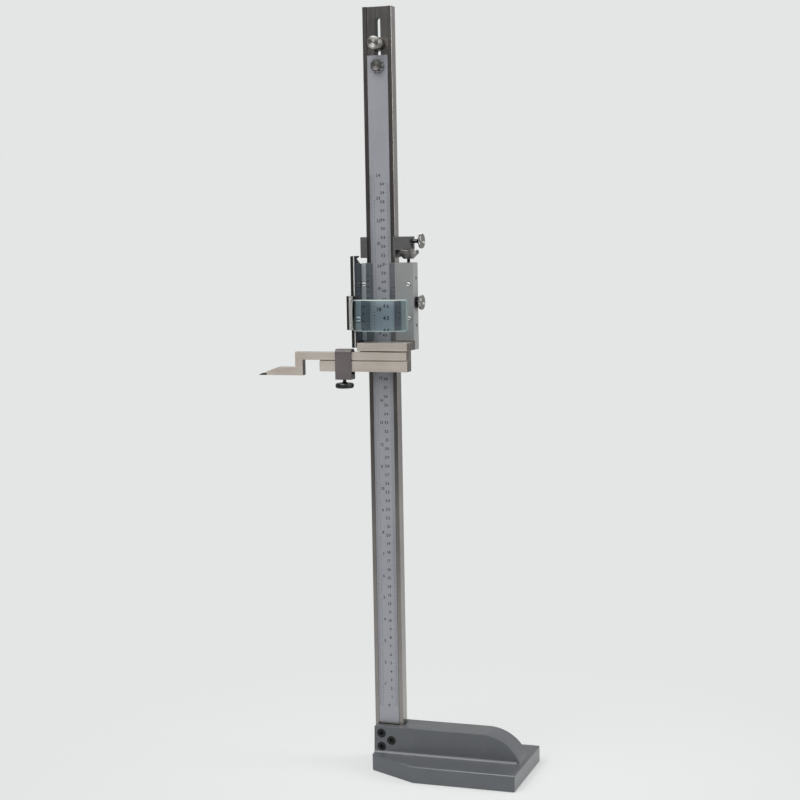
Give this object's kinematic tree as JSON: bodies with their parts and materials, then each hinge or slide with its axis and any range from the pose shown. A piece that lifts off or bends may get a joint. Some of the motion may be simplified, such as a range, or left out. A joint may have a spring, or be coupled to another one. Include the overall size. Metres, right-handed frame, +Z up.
{
  "type": "vernier height gauge",
  "caption": "Vernier height gauge: a ribbed base holds a graduated column; a slider with fine feed, sliding lens and clamped scriber measures and marks heights.",
  "frame": {"origin": "underside of the base, below the centre of the column", "axes": "+Z up along the column, +X along the base away from the scriber, the scale faces -Y"},
  "size_m": [0.3045, 0.115, 0.869],
  "materials": {
    "casting_paint": "satin grey paint",
    "column_steel": "dark satin",
    "scale_chrome": "satin chrome",
    "plate_steel": "satin",
    "ground_steel": "ground",
    "bright_steel": "turned bright",
    "dark_steel": "blackened",
    "brass": "satin",
    "carbide": "ground",
    "lens_glass": "polished"
  },
  "bodies": {
    "base": {"base": "casting_paint", "column": "column_steel", "column_screws": "dark_steel"},
    "scale_anchor": {"adjuster_block": "dark_steel", "adjuster_washer": "bright_steel"},
    "adjuster_nut": {"adjuster_nut": "dark_steel"},
    "adjuster_clamp_screw": {"adjuster_clamp_screw": "bright_steel"},
    "main_scale": {"main_scale": "scale_chrome", "scale_block": "dark_steel", "adjuster_stud": "bright_steel"},
    "scale_clamp_screw": {"scale_clamp_screw": "dark_steel"},
    "slider": {"slider_frame": "plate_steel", "inch_vernier": "plate_steel", "metric_vernier": "plate_steel", "vernier_screws": "bright_steel", "gib": "brass", "gib_screws": "dark_steel", "slider_clamp_washer": "dark_steel", "measuring_jaw": "ground_steel", "jaw_screws": "dark_steel", "lens_bracket": "dark_steel", "bracket_screws": "bright_steel", "feed_screw": "bright_steel"},
    "slider_clamp_screw": {"slider_clamp_screw": "bright_steel"},
    "lens_carrier": {"lens_carrier": "dark_steel", "lens_strip": "bright_steel", "lens_screws": "bright_steel", "lens": "lens_glass"},
    "feed_carriage": {"feed_carriage": "dark_steel", "carriage_shoe": "brass", "feed_nut_pin": "dark_steel"},
    "carriage_clamp_screw": {"carriage_clamp_screw": "bright_steel"},
    "feed_nut": {"feed_nut": "dark_steel"},
    "scriber": {"scriber": "ground_steel", "scriber_tip": "carbide"},
    "scriber_clamp": {"scriber_clamp": "dark_steel"},
    "scriber_clamp_screw": {"scriber_clamp_screw": "dark_steel"}
  },
  "joints": [
    {"name": "slider_travel", "type": "slide", "parent": "base", "child": "slider", "axis": [0, 0, 1], "range_m": [-0.435, 0.165]},
    {"name": "fine_feed", "type": "slide", "parent": "slider", "child": "feed_carriage", "axis": [0, 0, 1], "range_m": [-0.004, 0.006]},
    {"name": "feed_nut_turn", "type": "hinge", "parent": "feed_carriage", "child": "feed_nut", "pos_m": [0.0305, 0, 0.595], "axis": [0, 0, 1], "range_deg": [-1440, 2160]},
    {"name": "slider_clamp_turn", "type": "hinge", "parent": "slider", "child": "slider_clamp_screw", "pos_m": [0.042, 0, 0.5397], "axis": [1, 0, 0], "range_deg": [0, 360]},
    {"name": "carriage_clamp_turn", "type": "hinge", "parent": "feed_carriage", "child": "carriage_clamp_screw", "pos_m": [0.0443, 0, 0.6085], "axis": [1, 0, 0], "range_deg": [0, 360]},
    {"name": "lens_slide", "type": "slide", "parent": "slider", "child": "lens_carrier", "axis": [0, 0, 1], "range_m": [-0.014, 0.044]},
    {"name": "scriber_slide", "type": "slide", "parent": "slider", "child": "scriber", "axis": [1, 0, 0], "range_m": [-0.045, 0.02]},
    {"name": "scriber_clamp_slide", "type": "slide", "parent": "slider", "child": "scriber_clamp", "axis": [1, 0, 0], "range_m": [-0.02, 0.003]},
    {"name": "scriber_clamp_turn", "type": "hinge", "parent": "scriber_clamp", "child": "scriber_clamp_screw", "pos_m": [-0.0387, -0.0285, 0.447], "axis": [0, 0, -1], "range_deg": [0, 720]},
    {"name": "scale_coarse", "type": "slide", "parent": "base", "child": "scale_anchor", "axis": [0, 0, 1], "range_m": [-0.003, 0.015]},
    {"name": "scale_fine", "type": "slide", "parent": "scale_anchor", "child": "main_scale", "axis": [0, 0, 1], "range_m": [-0.003, 0.003]},
    {"name": "adjuster_nut_turn", "type": "hinge", "parent": "scale_anchor", "child": "adjuster_nut", "pos_m": [0.006, 0.0135, 0.8285], "axis": [0, 0, 1], "range_deg": [-1440, 1440]},
    {"name": "adjuster_clamp_turn", "type": "hinge", "parent": "scale_anchor", "child": "adjuster_clamp_screw", "pos_m": [0, -0.02, 0.8285], "axis": [0, -1, 0], "range_deg": [0, 360]},
    {"name": "scale_clamp_turn", "type": "hinge", "parent": "main_scale", "child": "scale_clamp_screw", "pos_m": [0, -0.02, 0.804], "axis": [0, -1, 0], "range_deg": [0, 360]}
  ],
  "couplings": [
    {"joint": "feed_nut_turn", "follows": "fine_feed", "rad_per_m": 6283.2},
    {"joint": "adjuster_nut_turn", "follows": "scale_fine", "rad_per_m": -8377.6}
  ]
}
